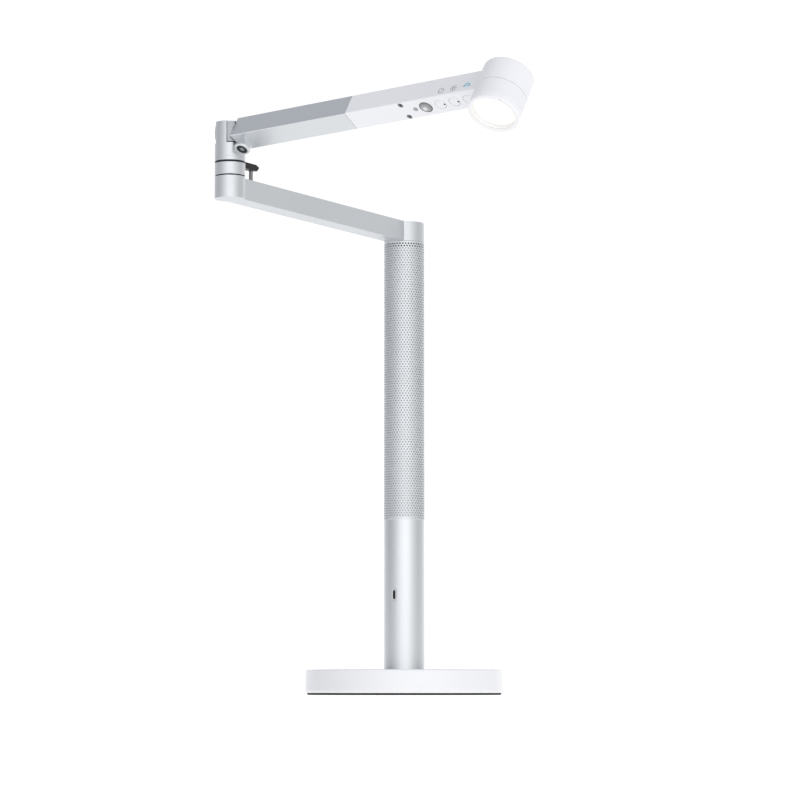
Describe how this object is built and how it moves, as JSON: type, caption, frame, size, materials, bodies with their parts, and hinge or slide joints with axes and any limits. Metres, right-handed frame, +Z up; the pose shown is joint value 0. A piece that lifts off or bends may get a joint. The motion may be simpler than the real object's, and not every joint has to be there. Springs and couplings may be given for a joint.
{
  "type": "articulated desk lamp",
  "caption": "LED desk lamp: weighted round base, perforated stem with a charging port, two jointed arms and a round tilting head.",
  "frame": {"origin": "centre of the stem's axis in the plane that the base pad rests on", "axes": "+Z up along the stem; the direct-current inlet faces +Y; the lower arm heads 120.7 degrees clockwise from +X seen from above"},
  "size_m": [0.2634, 0.5539, 0.5006],
  "materials": {
    "black_rubber": "fine matt rubber",
    "steel": "turned and zinc plated",
    "dark_steel": "ground and blackened",
    "cast_iron": "as cast, coated grey",
    "white_paint": "satin white powder coat",
    "black_plastic": "fine spark texture",
    "zinc": "die cast",
    "silver_metal": "bead blasted and clear anodised",
    "diffuser_plastic": "milky translucent",
    "polished_cone": "metallised",
    "black_anodised": "black anodised",
    "harness": "braided sleeve",
    "port_bezel": "satin",
    "port_metal": "drawn stainless",
    "port_tongue": "moulded",
    "circuit_board": "green solder mask",
    "bearing_polymer": "natural acetal",
    "magnet": "nickel plated",
    "clear_lens": "frosted clear",
    "white_shell": "fine satin moulding",
    "white_button": "fine satin moulding",
    "indicator": "smoked clear",
    "dark_screw": "black oxide",
    "dark_lens": "polished, smoked",
    "copper": "drawn copper",
    "spreader": "turned",
    "led": "phosphor under silicone",
    "mirror_finish": "metallised",
    "head_lens": "clear, satin edge"
  },
  "bodies": {
    "stand": {"base_pad": "black_rubber", "base_plate": "steel", "base_screws": "steel", "base_weight": "cast_iron", "base_cover": "white_paint", "dc_inlet": "black_plastic", "stem_foot": "zinc", "stem_clamp_bolt": "steel", "stem_tube": "silver_metal", "perforated_sleeve": "silver_metal", "diffuser_tube": "diffuser_plastic", "light_cone": "polished_cone", "stem_harness": "harness", "stem_top_collar": "black_anodised", "swivel_nut": "steel", "usb_port_bezel": "port_bezel", "usb_port_shell": "port_metal", "usb_port_tongue": "port_tongue", "power_board": "circuit_board"},
    "lower_arm": {"lower_arm_beam": "silver_metal", "lower_arm_cover": "silver_metal", "swivel_bush": "bearing_polymer", "dock_magnet_ring": "magnet", "dock_lens": "clear_lens", "lower_arm_harness": "harness", "elbow_shaft": "steel", "elbow_seal": "black_rubber", "elbow_ring": "silver_metal", "dock_tab": "black_plastic", "dock_pin": "dark_steel", "elbow_nut": "steel"},
    "elbow_block": {"elbow_fork": "silver_metal", "elbow_bush": "bearing_polymer", "tilt_pin": "steel"},
    "knuckle": {"tilt_knuckle": "zinc", "roll_shaft": "steel", "roll_nut": "steel"},
    "upper_arm": {"roll_collar": "silver_metal", "roll_bush": "bearing_polymer", "arm_rear_shell": "silver_metal", "arm_front_shell": "white_shell", "dock_boss": "silver_metal", "dock_boss_ring": "black_plastic", "dock_boss_magnet": "magnet", "heat_pipe": "copper", "driver_board": "circuit_board", "sensor_board": "circuit_board", "indicator_light_pipes": "indicator", "control_screws": "dark_screw", "light_sensor_lens": "dark_lens", "motion_sensor_lens": "dark_lens", "head_housing": "white_shell", "head_ring": "white_shell", "heat_spreader": "spreader", "led_module": "led", "reflector": "mirror_finish", "head_lens": "head_lens"},
    "power_button": {"power_button": "white_button"},
    "brightness_button": {"brightness_button": "white_button"},
    "warmth_button": {"warmth_button": "white_button"}
  },
  "joints": [
    {"name": "stem_swivel", "type": "hinge", "parent": "stand", "child": "lower_arm", "pos_m": [0, 0, 0.4192], "axis": [0, 0, 1], "range_deg": [-170, 170]},
    {"name": "elbow_turn", "type": "hinge", "parent": "lower_arm", "child": "elbow_block", "pos_m": [-0.14836, -0.24987, 0.45125], "axis": [0, 0, 1], "range_deg": [-170, 97.7]},
    {"name": "arm_tilt", "type": "hinge", "parent": "elbow_block", "child": "knuckle", "pos_m": [-0.14836, -0.24987, 0.4754], "axis": [-0.6211, -0.7837, 0], "range_deg": [-1.5, 38]},
    {"name": "arm_roll", "type": "hinge", "parent": "knuckle", "child": "upper_arm", "pos_m": [-0.14836, -0.24987, 0.4736], "axis": [0.7834, -0.6209, 0.0269], "range_deg": [-145, 210]},
    {"name": "power_button_press", "type": "slide", "parent": "upper_arm", "child": "power_button", "axis": [0.3132, 0.4317, 0.8459], "range_m": [0, 0.0005], "stiffness_N_per_m": 300, "springref_m": -0.001},
    {"name": "brightness_button_press", "type": "slide", "parent": "upper_arm", "child": "brightness_button", "axis": [0.3132, 0.4317, 0.8459], "range_m": [0, 0.0005], "stiffness_N_per_m": 300, "springref_m": -0.001},
    {"name": "warmth_button_press", "type": "slide", "parent": "upper_arm", "child": "warmth_button", "axis": [0.3132, 0.4317, 0.8459], "range_m": [0, 0.0005], "stiffness_N_per_m": 300, "springref_m": -0.001}
  ]
}
